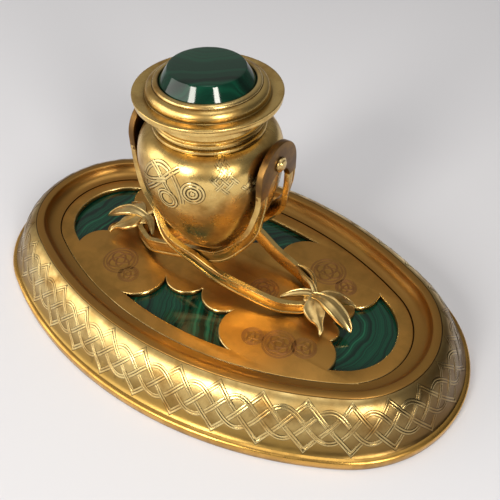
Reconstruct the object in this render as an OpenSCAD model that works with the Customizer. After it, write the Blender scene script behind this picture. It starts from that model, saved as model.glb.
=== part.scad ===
// Desk inkstand: an oval gilt bronze tray with malachite inlays. A strap frame on the tray
// carries a round ink pot with a hinged, stone-topped lid.
// Origin: centre of the tray, on the desk. +X runs along the tray, -Y is the front.

/* [Tray outline] */
// Length of the tray over the foot
tray_l = 240; // [236:1:246]
// Width of the tray over the foot
tray_w = 149; // [147:1:152]
// Radius of the two end arcs of the oval
end_r = 58.5; // [57.5:0.5:59.5]

/* [Foot and border] */
// Height of the plain foot band
foot_h = 5.4; // [5:0.1:6]
// Thickness of the foot band
foot_t = 5; // [4.6:0.1:5.2]
// Height of the tray's lip above the desk
lip_z = 25; // [24.5:0.1:26]
// How far the lip lies inside the foot
lip_in = 16.2; // [15.6:0.1:16.8]
// How far the border's lower edge lies inside the foot
border_in = 2.2; // [1.8:0.1:2.6]
// Wall of the hollow border
border_wall = 2.6; // [2.2:0.1:3]

/* [Tray rim] */
// Width of the flat lip on top
lip_w = 4; // [3.6:0.1:4.4]
// Width of the cove inside the lip
cove_w = 6.6; // [6.2:0.1:7]
// Depth of the cove below the lip
cove_d = 6; // [5.6:0.1:6.4]
// Width of the ledge that the fretwork lies on
ledge_w = 3; // [2.6:0.1:3.2]

/* [Fretwork] */
// Thickness of the pierced plate
fret_t = 2.8; // [2.4:0.1:3]
// Width of the plate outside the openings
fret_border = 6.9; // [6.6:0.1:7.2]
// Distance of the front and back openings' cusps from the long axis, as a part of the tray's half width
cusp_y_part = 0.2268; // [0.223:0.001:0.23]
// Radius of the scallops beside those cusps, as a part of the tray's half width
scallop_r_part = 0.1423; // [0.141:0.0005:0.146]
// Distance of those scallops' centres from the cross axis, as a part of the tray's half length
scallop_x_part = 0.0858; // [0.085:0.0005:0.087]
// Distance of those scallops' centres from the long axis, as a part of the tray's half width
scallop_y_part = 0.1839; // [0.182:0.001:0.186]
// Radius of the lobes beside the front and back openings, as a part of the tray's half width
lobe_r_part = 0.1812; // [0.179:0.001:0.188]
// Distance of those lobes from the cross axis, as a part of the tray's half length
lobe_x_part = 0.2583; // [0.257:0.0005:0.26]
// Distance of those lobes from the long axis, as a part of the tray's half width
lobe_y_part = 0.3356; // [0.333:0.001:0.34]
// Radius of the lobes beside the end openings, as a part of the tray's half width
end_lobe_r_part = 0.153; // [0.151:0.001:0.158]
// Distance of those lobes from the cross axis, as a part of the tray's half length
end_lobe_x_part = 0.4858; // [0.484:0.001:0.488]
// Distance of those lobes from the long axis, as a part of the tray's half width
end_lobe_y_part = 0.2859; // [0.282:0.001:0.289]
// Radius of the small scallops in the end openings, as a part of the tray's half width
end_scallop_r_part = 0.0752; // [0.073:0.001:0.077]
// Distance of the end openings' inner edge from the cross axis, as a part of the tray's half length
end_edge_x_part = 0.4983; // [0.497:0.0005:0.501]

/* [Stone inlays and bed] */
// Thickness of the malachite slabs
stone_t = 2.2; // [1.8:0.1:2.4]
// How far a slab reaches under the fretwork
stone_lap = 1.8; // [1.6:0.1:2]
// Thickness of the bed under the slabs
bed_t = 2; // [1.8:0.1:2.4]
// Radius of the pillars for the long screws
pillar_r = 4; // [3.4:0.1:5]

/* [Base] */
// Thickness of the felt
felt_t = 1; // [0.8:0.1:1.2]
// Radius of the screws' shanks
screw_r = 1.4; // [1.2:0.1:1.6]
// Radius of the screws' heads
head_r = 2.7; // [2.4:0.1:3]

/* [Pot] */
// Place of the pot along the tray, from the tray's middle
pot_x = -3.6; // [-4:0.2:0]
// Greatest radius of the pot
pot_r = 29.3; // [28.8:0.1:29.3]
// Height of the pot's underside above the desk
pot_z = 39.8; // [39.6:0.1:41]
// Height of the greatest radius
pot_wide_z = 83; // [82:0.5:84]
// Height of the shoulder, where the neck starts
neck_z = 97; // [96.5:0.1:97.5]
// Radius of the flat under the pot
pot_foot_r = 8; // [7:0.1:8.5]
// Wall of the pot
pot_wall = 2; // [1.8:0.1:2.4]
// Radius of the neck
neck_r = 20.9; // [20.6:0.1:21.2]
// Radius of the neck's bore
mouth_r = 17.4; // [17:0.1:17.6]

/* [Lid] */
// Height of the pot's rim, where the lid lies
rim_z = 110.8; // [110.4:0.1:111.5]
// Radius of the rim
rim_r = 28.1; // [27.9:0.1:28.4]
// Thickness of the rim
rim_t = 1.8; // [1.6:0.1:2]
// Radius of the lid
lid_r = 28.4; // [28.2:0.1:29]
// Radius of the torus moulding round the stone
torus_r = 23.4; // [23:0.1:24]
// Height of the bezel's seat above the rim
bezel_h = 3.2; // [3:0.1:3.6]
// Radius of the bezel
bezel_r = 20.4; // [20.2:0.1:20.8]
// Radius of the stone at its base
stone_r = 17.9; // [17.4:0.1:18.2]
// Radius of the stone's flat top
stone_top_r = 14.4; // [13:0.1:15]
// Height of the stone's top above the bezel's seat
stone_h = 7.2; // [6.6:0.1:8]
// Distance of the hinge from the pot's axis
hinge_y = 25.8; // [25.6:0.1:26]
// Radius of the hinge pin
pin_r = 0.8; // [0.7:0.05:0.9]
// Radius of the hinge knuckles
knuckle_r = 1.9; // [1.7:0.05:1.95]
// Length of the middle knuckle
knuckle_l = 5; // [4:0.1:6]

/* [Ink liner] */
// Outer radius of the glass liner
liner_r = 16.2; // [15:0.1:16.6]
// Depth of the glass liner
liner_h = 50; // [40:1:54]
// Wall of the glass liner
liner_wall = 2; // [1.6:0.1:2.4]

/* [Strap frame] */
// Distance of an ear's middle from the pot's axis
ear_x = 30.7; // [30.7:0.1:31.2]
// Thickness of the straps
strap_t = 2.4; // [2:0.1:2.5]
// Height of the studs above the desk
stud_z = 90; // [89:0.1:91]
// Radius of an ear's arch
ear_r = 12.8; // [12.6:0.1:13]
// Radius of the opening between an ear's two strands
crotch_r = 7.9; // [7.7:0.1:8.1]
// Radius of a stud's head
stud_r = 3; // [2.6:0.1:3.2]
// Radius of a stud's shank
shank_r = 1.5; // [1.2:0.1:1.7]
// Depth of the sunk panel along the outer face of a strap
panel_d = 0.4; // [0.3:0.05:0.6]
// Width of the raised border along each edge of a strap
strap_edge = 1.1; // [0.9:0.05:1.3]
// Distance of a leaf's stem from the tray's middle
stem_x = 47.5; // [47:0.5:49]
// Radius of a leaf's stem
stem_r = 3.1; // [2.8:0.1:3.3]
// Length of a leaf from its stem to its tip
leaf_l = 20; // [18:0.5:21]
// Reach of a side lobe's tip from the leaf's middle
leaf_w = 11; // [10:0.5:12]

/* [Clearances] */
// Gap between the hinge pin and the lid's knuckle
hinge_gap = 0.06; // [0.03:0.01:0.1]
// Gap at each end of the middle knuckle
side_gap = 0.25; // [0.15:0.05:0.4]
// Gap between pieces that are fitted by hand
fit_gap = 0.1; // [0.05:0.05:0.15]
// Gap between a screw or pin and the hole it is fixed in
hole_gap = 0.04; // [0.02:0.01:0.08]

/* [Hidden] */
$fn = 96;

gilt = [0.78, 0.58, 0.26];
steel = [0.6, 0.6, 0.62];
malachite = [0.07, 0.30, 0.22];
far = 300;

// Four-arc oval: end arcs about (+-end_c, 0), side arcs about (0, -+side_c)
half_l = tray_l / 2;
half_w = tray_w / 2;
end_c = half_l - end_r;
side_r = (end_c * end_c + half_w * half_w - end_r * end_r) / (2 * (half_w - end_r));
side_c = side_r - half_w;
arc_angle = atan2(side_c, end_c);

// Fretwork sizes that follow the tray
cusp_y = cusp_y_part * half_w;
scallop_r = scallop_r_part * half_w;
scallop_x = scallop_x_part * half_l;
scallop_y = scallop_y_part * half_w;
lobe_r = lobe_r_part * half_w;
lobe_x = lobe_x_part * half_l;
lobe_y = lobe_y_part * half_w;
end_lobe_r = end_lobe_r_part * half_w;
end_lobe_x = end_lobe_x_part * half_l;
end_lobe_y = end_lobe_y_part * half_w;
end_scallop_r = end_scallop_r_part * half_w;
end_edge_x = end_edge_x_part * half_l;

// Insets from the foot's edge
cove_in = lip_in + lip_w;
fret_in = cove_in + cove_w;
open_in = fret_in + fret_border;
ledge_in = fret_in + ledge_w;
shelf_in = lip_in + 3;
stone_in = open_in - stone_lap;
hook_in = foot_t + 3;

// Heights
band_z = 0.3;
board_z = foot_h - 1.4;
fret_z = lip_z - cove_d;
stone_z = fret_z - fret_t;
shelf_z = stone_z - 2;
bed_z = stone_z - stone_t - bed_t;
pin_z = rim_z - knuckle_r - 0.3;
seat_z = rim_z - 2.2;
lid_z = rim_z + 0.05;
bezel_z = lid_z + bezel_h;

// Screws
head_h = head_r - screw_r;
pillar_x = 0.52 * half_l;
pillar_y = 0.19 * half_w;
bed_screw_in = cove_in + 3.3;
bed_screw_a = 35;
leaf_screw_z = fret_z + 4;

// Pot and lid
seat_r = mouth_r + 1.6;
throat_r = mouth_r + 1.7;
spigot_gap = 0.4;
knuckle_x = knuckle_l / 2;
outer_knuckle_l = 5.5;
ear_t = strap_t + 0.3;
ear_z = stud_z - 4.3;
ear_foot_z = 80;
crotch_z = stud_z - stud_r - 0.4 - crotch_r;

// ---------------------------------------------------------------- shared shapes

// Point at t on the cubic curve with the control points a, b, c, d
function bezier(a, b, c, d, t) =
    a * pow(1 - t, 3) + 3 * b * t * pow(1 - t, 2) + 3 * c * t * t * (1 - t) + d * pow(t, 3);

function curve(a, b, c, d, steps, first = 0) =
    [for (i = [first:steps]) bezier(a, b, c, d, i / steps)];

// Point at u on a smooth curve through the rows p, where u counts rows
function through(p, u) =
    let (i = min(floor(u), len(p) - 2), t = u - i,
         a = p[max(i - 1, 0)], b = p[i], c = p[i + 1], d = p[min(i + 2, len(p) - 1)])
    b + t * (c - a) / 2 + t * t * (2 * a - 5 * b + 4 * c - d) / 2
        + t * t * t * (3 * b - a - 3 * c + d) / 2;

function unit(v) = v / norm(v);

// Keeps what lies in the oval's end pie, or in the piece between the pies
module endPie(z0, z1) {
    reach = [cos(arc_angle), sin(arc_angle)] * far;
    intersection() {
        children();
        translate([0, 0, z0])
            linear_extrude(z1 - z0)
                polygon([[end_c, 0], [end_c, 0] + [reach[0], -reach[1]], [end_c, 0] + reach]);
    }
}

module sidePiece(z0, z1) {
    reach = [cos(arc_angle), sin(arc_angle)] * far;
    intersection() {
        children();
        translate([0, 0, z0])
            linear_extrude(z1 - z0)
                polygon([[-end_c, 0], [end_c, 0], [end_c, 0] + reach, [-end_c, 0] + [-reach[0], reach[1]]]);
    }
}

// Moulding with a given section, swept round the oval. A section point is [inset, height].
module ovalMoulding(section) {
    for (side = [0, 180])
        rotate(side) {
            endPie(-1, far)
                translate([end_c, 0, 0])
                    rotate_extrude($fn = 180) polygon([for (p = section) [end_r - p[0], p[1]]]);
            sidePiece(-1, far)
                translate([0, -side_c, 0])
                    rotate_extrude($fn = 240) polygon([for (p = section) [side_r - p[0], p[1]]]);
        }
}

// Flat plate with the oval's outline, inset from the foot
module ovalPlate(inset, z0, z1) {
    for (side = [0, 180])
        rotate(side) {
            endPie(z0, z1)
                translate([end_c, 0, z0]) cylinder(r = end_r - inset, h = z1 - z0, $fn = 180);
            sidePiece(z0, z1)
                translate([0, -side_c, z0]) cylinder(r = side_r - inset, h = z1 - z0, $fn = 240);
        }
}

module boxFrom(a, b) {
    translate(a) cube(b - a);
}

module rod(r, z0, z1) {
    translate([0, 0, z0]) cylinder(r = r, h = z1 - z0, $fn = 48);
}

// Countersunk screw that stands on its head
module screw(z0, z1, gap = 0) {
    rod(screw_r + gap, z0, z1);
    translate([0, 0, z0]) cylinder(r1 = head_r + gap, r2 = screw_r + gap, h = head_h, $fn = 48);
}

module fourCorners(x, y) {
    for (sx = [-1, 1], sy = [-1, 1])
        translate([sx * x, sy * y, 0])
            children();
}

module bedScrewPlaces() {
    for (sy = [-1, 1])
        translate([0, sy * (half_w - bed_screw_in), 0]) children();
    fourCorners(end_c + (end_r - bed_screw_in) * cos(bed_screw_a),
                (end_r - bed_screw_in) * sin(bed_screw_a)) children();
}

// Solid through a list of rings, each with the same number of points
module loft(rings) {
    n = len(rings[0]);
    m = len(rings);
    polyhedron(
        points = [for (r = rings) for (p = r) p],
        faces = concat(
            [[for (i = [n - 1:-1:0]) i]],
            [for (k = [0:m - 2]) for (i = [0:n - 1])
                for (tri = [0, 1])
                    let (a = k * n + i, b = k * n + (i + 1) % n)
                        tri == 0 ? [a, b, b + n] : [a, b + n, a + n]],
            [[for (i = [0:n - 1]) (m - 1) * n + i]]
        )
    );
}

// ---------------------------------------------------------------- tray

module foot_band() {
    color(gilt)
        ovalMoulding([
            [0.4, band_z], [0, band_z + 0.6], [0, foot_h - 0.8], [0.7, foot_h],
            [hook_in, foot_h], [hook_in, board_z], [foot_t, board_z], [foot_t, band_z]
        ]);
}

module plinth_border() {
    outside = curve([border_in, foot_h], [border_in + 3.3, foot_h + 2],
                    [border_in + 5.8, lip_z - 3], [lip_in, lip_z - 0.3], 12);
    color(gilt)
        ovalMoulding(concat(outside, [
            [lip_in, shelf_z], [shelf_in, shelf_z], [shelf_in, shelf_z - 2],
            [border_in + 3.2 * border_wall, shelf_z - 2],
            [border_in + 1.6 * border_wall, foot_h + 2.6],
            [border_in + 1.2 * border_wall, foot_h]
        ]));
}

module tray_rim() {
    outer = lip_in + fit_gap;
    section = concat(
        [[outer, shelf_z], [outer, lip_z - 0.7], [outer + 0.7, lip_z], [cove_in - 0.8, lip_z]],
        curve([cove_in, lip_z - 0.5], [cove_in + 0.6, lip_z - 3.6],
              [fret_in - 4.6, fret_z + 0.3], [fret_in, fret_z + 0.15], 8),
        [[fret_in, stone_z], [ledge_in, stone_z], [ledge_in, shelf_z]]
    );
    color(gilt)
        difference() {
            ovalMoulding(section);
            bedScrewPlaces() rod(screw_r + hole_gap, bed_z, fret_z);
        }
}

module endOpening(z0, z1) {
    difference() {
        intersection() {
            ovalPlate(open_in, z0, z1);
            boxFrom([end_edge_x, -half_w, z0], [half_l, half_w, z1]);
        }
        for (sy = [-1, 1]) {
            translate([end_lobe_x, sy * end_lobe_y, 0]) rod(end_lobe_r, z0 - 1, z1 + 1);
            translate([end_lobe_x + 0.6, sy * (end_scallop_r + 1.6), 0]) rod(end_scallop_r, z0 - 1, z1 + 1);
        }
    }
}

module sideOpening(z0, z1) {
    difference() {
        intersection() {
            ovalPlate(open_in, z0, z1);
            boxFrom([-lobe_x, -half_w, z0], [lobe_x, -cusp_y, z1]);
        }
        for (sx = [-1, 1]) {
            translate([sx * lobe_x, -lobe_y, 0]) rod(lobe_r, z0 - 1, z1 + 1);
            translate([sx * scallop_x, -scallop_y, 0]) rod(scallop_r, z0 - 1, z1 + 1);
        }
    }
}

module fret_plate() {
    color(gilt)
        difference() {
            ovalPlate(fret_in + fit_gap, stone_z, fret_z);
            for (side = [0, 1]) {
                mirror([side, 0, 0]) endOpening(stone_z - 1, fret_z + 1);
                mirror([0, side, 0]) sideOpening(stone_z - 1, fret_z + 1);
            }
            for (sx = [-1, 1])
                translate([sx * stem_x, 0, 0]) rod(screw_r + hole_gap, bed_z, fret_z + 1);
        }
}

// Outlines of the slabs, drawn at the right end and at the front
module endSlab(gap, z0, z1) {
    intersection() {
        ovalPlate(stone_in + gap, z0, z1);
        boxFrom([end_edge_x - 2.4 + gap, -half_w, z0], [half_l, half_w, z1]);
    }
}

module sideSlab(gap, z0, z1) {
    intersection() {
        ovalPlate(stone_in + gap, z0, z1);
        boxFrom([-lobe_x + gap, -half_w, z0], [lobe_x - gap, -cusp_y + 2.4 - gap, z1]);
    }
}

module malachite_right() {
    color(malachite) endSlab(fit_gap, stone_z - stone_t, stone_z);
}

module malachite_left() {
    color(malachite) mirror([1, 0, 0]) endSlab(fit_gap, stone_z - stone_t, stone_z);
}

module malachite_front() {
    color(malachite) sideSlab(fit_gap, stone_z - stone_t, stone_z);
}

module malachite_back() {
    color(malachite) mirror([0, 1, 0]) sideSlab(fit_gap, stone_z - stone_t, stone_z);
}

module bed_plate() {
    color(gilt)
        difference() {
            union() {
                ovalPlate(shelf_in + 0.6, bed_z, shelf_z);
                ovalPlate(ledge_in + 0.3, shelf_z, stone_z);
                fourCorners(pillar_x, pillar_y) rod(pillar_r, board_z, bed_z);
            }
            for (side = [0, 1]) {
                mirror([side, 0, 0]) endSlab(0, stone_z - stone_t, stone_z + 1);
                mirror([0, side, 0]) sideSlab(0, stone_z - stone_t, stone_z + 1);
            }
            bedScrewPlaces() screw(bed_z, fret_z, hole_gap);
            fourCorners(pillar_x, pillar_y) rod(screw_r + hole_gap, board_z - 1, bed_z - 0.6);
            for (sx = [-1, 1])
                translate([sx * stem_x, 0, 0]) screw(bed_z, fret_z, hole_gap);
        }
}

module bed_screws() {
    color(steel) bedScrewPlaces() screw(bed_z, fret_z - 0.4);
}

module base_board() {
    color([0.45, 0.30, 0.18])
        difference() {
            ovalPlate(foot_t + 2 * fit_gap, felt_t, board_z);
            fourCorners(pillar_x, pillar_y) screw(felt_t, board_z + 1, hole_gap);
        }
}

module board_screws() {
    color(steel) fourCorners(pillar_x, pillar_y) screw(felt_t, bed_z - 1.2);
}

module base_felt() {
    color([0.10, 0.28, 0.18]) ovalPlate(foot_t + 2 * fit_gap + 0.2, 0, felt_t);
}

// ---------------------------------------------------------------- strap frame

// Rows [x, y, z, facing, width] along one ribbon, from an ear to the leaf at the other side.
// Facing is the angle of the outer face, from the ear's side towards the front.
function strapRows(side) =
    let (out = side > 0 ? 0.3 : -2.9)
    concat(
        [for (r = [
            [ear_x, -10.35, 82, 0, 4.9, 0], [ear_x - 0.1, -10.4, 77, 3, 5.0, 0],
            [ear_x - 1, -11, 71, 10, 5.4, 0], [ear_x - 3.6, -12.3, 61, 30, 5.8, 0],
            [20.8, -13.6, 52, 50, 6.2, 0.25], [12.4, -15, 43.2, 70, 6.4, 1],
            [0, -14, 36.9, 90, 6.8, 1], [-12, -13.5, 32.3, 92, 7, 1], [-24, -12.8, 27.8, 92, 7.2, 0.35]
        ]) [pot_x + side * r[0], r[1] + out * r[5], r[2], r[3], r[4]]],
        [[-side * (stem_x - 12.5), -11, fret_z + 5.6, 100, 7],
         [-side * (stem_x - 4.5), -6.8, fret_z + 4.4, 114, 6.4],
         [-side * (stem_x - 1.4), -4.5, fret_z + 4.6, 128, 6]]
    );

function strapSection(w) = [
    [-w, -strap_t / 2], [w, -strap_t / 2], [w, strap_t / 2], [w - strap_edge, strap_t / 2],
    [w - strap_edge - panel_d, strap_t / 2 - panel_d], [-w + strap_edge + panel_d, strap_t / 2 - panel_d],
    [-w + strap_edge, strap_t / 2], [-w, strap_t / 2]
];

module ribbon(side) {
    rows = strapRows(side);
    steps = 4;
    loft([for (k = [0:(len(rows) - 1) * steps])
        let (u = k / steps,
             row = through(rows, u),
             ahead = through(rows, min(u + 0.05, len(rows) - 1)),
             behind = through(rows, max(u - 0.05, 0)),
             along = unit([for (i = [0:2]) ahead[i] - behind[i]]),
             facing = [side * cos(row[3]), -sin(row[3]), 0],
             normal = unit(facing - along * (facing * along)),
             across = cross(along, normal))
            [for (p = strapSection(row[4] / 2))
                [row[0], row[1], row[2]] + across * p[0] + normal * p[1]]
    ]);
}

// Ear at the pot's side, with its hole for the stud
module ear(side) {
    translate([pot_x + side * ear_x - ear_t / 2, 0, 0])
        rotate([90, 0, 90])
            difference() {
                union() {
                    translate([0, ear_z, 0]) cylinder(r = ear_r, h = ear_t);
                    boxFrom([-ear_r, ear_foot_z, 0], [ear_r, ear_z, ear_t]);
                }
                boxFrom([-ear_r - 1, ear_z - ear_r - 1, -1], [ear_r + 1, ear_foot_z, ear_t + 1]);
                translate([0, crotch_z, -1]) cylinder(r = crotch_r, h = ear_t + 2);
                boxFrom([-crotch_r, crotch_z - 9, -1], [crotch_r, crotch_z, ear_t + 1]);
                translate([0, stud_z, -1]) cylinder(r = shank_r + hole_gap, h = ear_t + 2);
            }
}

module strap(side) {
    color(gilt) {
        ear(side);
        ribbon(side);
        mirror([0, 1, 0]) ribbon(side);
    }
}

module strap_left() {
    strap(-1);
}

module strap_right() {
    strap(1);
}

// ---------------------------------------------------------------- leaves

// Blade along rows [x, y, z, half width, thickness]
module blade(rows, steps) {
    loft([for (k = [0:(len(rows) - 1) * steps])
        let (u = k / steps,
             row = through(rows, u),
             ahead = through(rows, min(u + 0.05, len(rows) - 1)),
             behind = through(rows, max(u - 0.05, 0)),
             along = unit([for (i = [0:2]) ahead[i] - behind[i]]),
             across = unit(cross(along, [0, 0, 1])),
             up = cross(across, along),
             w = row[3], t = row[4])
            [for (p = [[-w, 0], [-0.6 * w, -0.4 * t], [0.6 * w, -0.4 * t], [w, 0], [0.55 * w, 0.45 * t],
                       [0, 0.6 * t], [-0.55 * w, 0.45 * t]])
                [row[0], row[1], row[2]] + across * p[0] + up * p[1]]
    ]);
}

module leaf() {
    tip = stem_x + leaf_l;
    top = fret_z + 8;
    color(gilt)
        difference() {
            union() {
                translate([stem_x, 0, 0]) rod(stem_r, fret_z, top);
                blade([[stem_x - 1.5, 0, top - 0.5, 1.6, 2.6], [stem_x + 4, 0, top + 0.6, 2.6, 3],
                       [stem_x + 9, 0, top + 0.6, 4.1, 3.2], [tip - 5.5, 0, top - 2.2, 3.6, 2.8],
                       [tip, 0, fret_z + 1.4, 0.3, 1.2]], 5);
                for (side = [0, 1])
                    mirror([0, side, 0]) {
                        blade([[stem_x - 0.5, -0.8, top - 1.2, 1.4, 2.4],
                               [stem_x + 1.5, -4.6, top - 0.6, 2.4, 2.8],
                               [stem_x + 5, -leaf_w + 2.8, top - 1.4, 2.2, 2.6],
                               [stem_x + 10, -leaf_w, fret_z + 2.6, 0.4, 1.4]], 5);
                        blade([[stem_x + 0.5, -0.6, top - 1.2, 1.2, 2],
                               [stem_x - 5, -2.4, top - 0.2, 1.2, 2.2],
                               [stem_x - 11, -7, top - 0.2, 0.7, 1.6]], 5);
                    }
            }
            translate([stem_x, 0, 0]) rod(screw_r + hole_gap, fret_z - 1, leaf_screw_z);
        }
}

module leaf_right() {
    leaf();
}

module leaf_left() {
    mirror([1, 0, 0]) leaf();
}

module leaf_screws() {
    color(steel)
        for (sx = [-1, 1])
            translate([sx * stem_x, 0, 0]) screw(bed_z, leaf_screw_z - 0.4);
}

module stud(side) {
    outer = ear_x + ear_t / 2;
    color(gilt)
        translate([pot_x, 0, stud_z])
            rotate([0, side * 90, 0]) {
                rod(shank_r, ear_x - 4.6, outer);
                rod(stud_r, outer, outer + 1);
                translate([0, 0, outer + 1]) cylinder(r1 = stud_r, r2 = stud_r - 1.1, h = 1, $fn = 48);
            }
}

module stud_left() {
    stud(-1);
}

module stud_right() {
    stud(1);
}

// ---------------------------------------------------------------- pot

module pot_body() {
    shoulder = neck_r + 1;
    outside = concat(
        curve([pot_foot_r, pot_z], [14.5, pot_z + 0.2], [pot_r - 0.3, 60], [pot_r, pot_wide_z], 16),
        curve([pot_r, pot_wide_z], [pot_r, 90], [pot_r - 1.7, neck_z - 1.6], [shoulder, neck_z], 10, 1)
    );
    inner = pot_r - pot_wall;
    inside = concat(
        [[throat_r, neck_z]],
        curve([throat_r, neck_z - 2], [inner - 2.4, neck_z - 3.4], [inner, 90], [inner, pot_wide_z], 6),
        curve([inner, pot_wide_z], [inner - 0.3, 60.5],
              [13.5, pot_z + 2.8], [pot_foot_r - 1, pot_z + pot_wall], 12, 1)
    );
    color(gilt)
        difference() {
            union() {
                translate([pot_x, 0, 0])
                    rotate_extrude($fn = 144)
                        polygon(concat([[0, pot_z]], outside, inside, [[0, pot_z + pot_wall]]));
                for (side = [-1, 1])
                    translate([pot_x, 0, stud_z]) rotate([0, side * 90, 0])
                        rod(stud_r, pot_r - 2.2, ear_x - ear_t / 2);
            }
            translate([pot_x, 0, stud_z]) rotate([0, 90, 0])
                rod(shank_r + hole_gap, -ear_x - 1, ear_x + 1);
        }
}

module knuckle(r, x0, x1) {
    translate([0, hinge_y, pin_z]) rotate([0, 90, 0]) rod(r, x0, x1);
}

module neck_ring() {
    under_rim = rim_z - rim_t;
    outside = [
        [throat_r - fit_gap, neck_z - 1.8], [throat_r - fit_gap, neck_z], [neck_r + 1, neck_z],
        [neck_r + 1.4, neck_z + 0.4], [neck_r + 1.4, neck_z + 1.1], [neck_r + 1, neck_z + 1.5],
        [neck_r, neck_z + 1.8], [neck_r, neck_z + 2.6], [neck_r + 0.8, neck_z + 3],
        [neck_r + 0.8, neck_z + 3.6], [neck_r + 0.3, neck_z + 4], [neck_r + 0.7, neck_z + 4.4],
        [neck_r + 0.7, neck_z + 4.9], [neck_r, neck_z + 5.3]
    ];
    flare = curve([neck_r - 0.2, neck_z + 6.5], [neck_r - 0.4, under_rim - 1.6],
                  [neck_r + 2, under_rim - 0.5], [rim_r - 1.2, under_rim - 0.3], 8);
    inside = [
        [rim_r, under_rim], [rim_r, rim_z - 0.3], [rim_r - 0.3, rim_z], [seat_r, rim_z],
        [seat_r, seat_z], [mouth_r, seat_z], [mouth_r, neck_z - 1.8]
    ];
    notch = knuckle_x + side_gap + outer_knuckle_l;
    color(gilt)
        translate([pot_x, 0, 0])
            difference() {
                union() {
                    difference() {
                        rotate_extrude($fn = 144) polygon(concat(outside, flare, inside));
                        boxFrom([-notch - 0.3, hinge_y - knuckle_r - 0.4, under_rim - 3],
                                [notch + 0.3, rim_r + 1, rim_z + 1]);
                        boxFrom([-rim_r, hinge_y - 0.6, under_rim - 3], [rim_r, rim_r + 1, rim_z + 1]);
                    }
                    for (side = [0, 1])
                        mirror([side, 0, 0]) {
                            knuckle(knuckle_r, knuckle_x + side_gap, notch);
                            boxFrom([knuckle_x + side_gap, neck_r - 2, pin_z - knuckle_r + 0.2],
                                    [notch, hinge_y - 0.9, pin_z + 0.6]);
                        }
                }
                knuckle(pin_r + hole_gap, -notch - 1, notch + 1);
                boxFrom([-knuckle_x - side_gap, hinge_y - knuckle_r - 0.4, under_rim - 3],
                        [knuckle_x + side_gap, rim_r, rim_z + 1]);
            }
}

module ink_liner() {
    lip = seat_z + 0.8;
    foot = lip - liner_h;
    color([0.75, 0.85, 0.88, 0.6])
        translate([pot_x, 0, 0])
            rotate_extrude()
                polygon([
                    [0, foot], [liner_r - 2, foot], [liner_r - 0.6, foot + 0.6], [liner_r, foot + 2],
                    [liner_r, seat_z], [seat_r - 0.5, seat_z], [seat_r - 0.5, lip],
                    [liner_r - liner_wall, lip], [liner_r - liner_wall, foot + liner_wall + 1.4],
                    [liner_r - liner_wall - 1.4, foot + liner_wall], [0, foot + liner_wall]
                ]);
}

// ---------------------------------------------------------------- lid

module lid_plate() {
    torus_z = bezel_z + 1;
    section = concat(
        [[0, lid_z - 1.2], [seat_r - spigot_gap, lid_z - 1.2], [seat_r - spigot_gap, lid_z],
         [lid_r - 0.3, lid_z], [lid_r, lid_z + 0.3], [lid_r, lid_z + 0.8], [lid_r - 0.3, lid_z + 1.1],
         [torus_r + 1, lid_z + 0.6], [torus_r, lid_z + 0.5]],
        curve([torus_r, lid_z + 0.8], [torus_r, lid_z + 2.8], [bezel_r + 1.8, torus_z],
              [bezel_r + 0.2, torus_z], 8),
        [[bezel_r + fit_gap, torus_z - 0.2], [bezel_r + fit_gap, bezel_z], [0, bezel_z]]
    );
    color(gilt)
        translate([pot_x, 0, 0])
            difference() {
                union() {
                    rotate_extrude($fn = 144) polygon(section);
                    knuckle(knuckle_r, -knuckle_x, knuckle_x);
                    boxFrom([-knuckle_x, hinge_y - knuckle_r + 0.4, pin_z],
                            [knuckle_x, hinge_y + knuckle_r - 0.4, lid_z + 0.3]);
                }
                knuckle(pin_r + hinge_gap, -knuckle_x - 1, knuckle_x + 1);
            }
}

module lid_bezel() {
    color(gilt)
        translate([pot_x, 0, 0])
            rotate_extrude()
                polygon([
                    [stone_r + fit_gap, bezel_z], [bezel_r, bezel_z], [bezel_r, bezel_z + 1.4],
                    [bezel_r - 0.5, bezel_z + 2.1], [stone_r + 0.7, bezel_z + 2.3],
                    [stone_r + fit_gap, bezel_z + 1.7]
                ]);
}

module cabochon() {
    top = bezel_z + stone_h;
    color(malachite)
        translate([pot_x, 0, 0])
            rotate_extrude()
                polygon(concat(
                    [[0, bezel_z], [stone_r, bezel_z], [stone_r, bezel_z + 1.6]],
                    curve([stone_top_r, top - 0.45], [stone_top_r - 0.6, top - 0.2],
                          [stone_top_r / 2, top], [0, top], 5)
                ));
}

module hinge_pin() {
    pin_l = knuckle_x + side_gap + outer_knuckle_l;
    color(steel) translate([pot_x, 0, 0]) knuckle(pin_r, -pin_l, pin_l);
}

foot_band();
plinth_border();
tray_rim();
fret_plate();
malachite_left();
malachite_right();
malachite_front();
malachite_back();
bed_plate();
bed_screws();
base_board();
board_screws();
base_felt();
strap_left();
strap_right();
leaf_left();
leaf_right();
leaf_screws();
stud_left();
stud_right();
pot_body();
neck_ring();
ink_liner();
lid_plate();
lid_bezel();
cabochon();
hinge_pin();
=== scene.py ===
# Desk inkstand in gilt bronze and malachite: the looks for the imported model. Sizes here are in millimetres.
import bisect
import math

import bpy
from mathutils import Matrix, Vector
from mathutils.geometry import intersect_line_line_2d


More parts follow.
